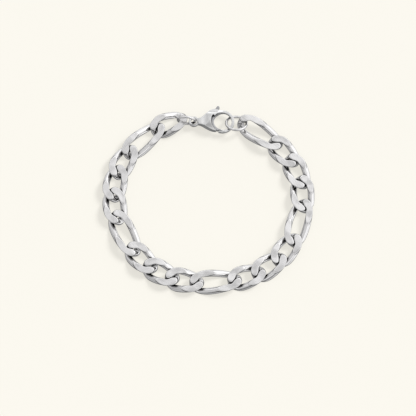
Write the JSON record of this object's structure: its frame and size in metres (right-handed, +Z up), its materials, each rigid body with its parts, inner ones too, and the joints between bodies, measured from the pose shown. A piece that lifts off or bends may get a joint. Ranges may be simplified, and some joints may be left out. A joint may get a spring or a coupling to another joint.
{
  "type": "link bracelet",
  "caption": "Closed figaro chain bracelet of flat ground curb links, one long after each run of short ones, joined by jump rings and a lobster clasp with a sprung lever.",
  "frame": {"origin": "on the surface under the middle of the bracelet's bounding box, in metres", "axes": "+X to the right in the picture, from the clasp's eye to its hook; +Y from the middle of the loop towards the clasp; +Z up from the surface"},
  "size_m": [0.078, 0.073, 0.0073],
  "materials": {
    "links": "polished stainless steel",
    "rings": "polished stainless steel",
    "clasp": "polished stainless steel"
  },
  "bodies": {
    "bracelet": {"link_01": "links", "link_02": "links", "link_03": "links", "link_04": "links", "link_05": "links", "link_06": "links", "link_07": "links", "link_08": "links", "link_09": "links", "link_10": "links", "link_11": "links", "link_12": "links", "link_13": "links", "link_14": "links", "link_15": "links", "link_16": "links", "link_17": "links", "link_18": "links", "eye_ring": "rings", "claw_ring": "rings", "clasp_body": "clasp", "clasp_pin": "clasp"},
    "lever": {"clasp_lever": "clasp"}
  },
  "joints": [
    {"name": "lever_hinge", "type": "hinge", "parent": "bracelet", "child": "lever", "pos_m": [0.00212, 0.0336, 0.0022], "axis": [0, 0, 1], "range_deg": [0, 17], "stiffness_Nm_per_rad": 0.004, "springref_deg": -14.32}
  ]
}
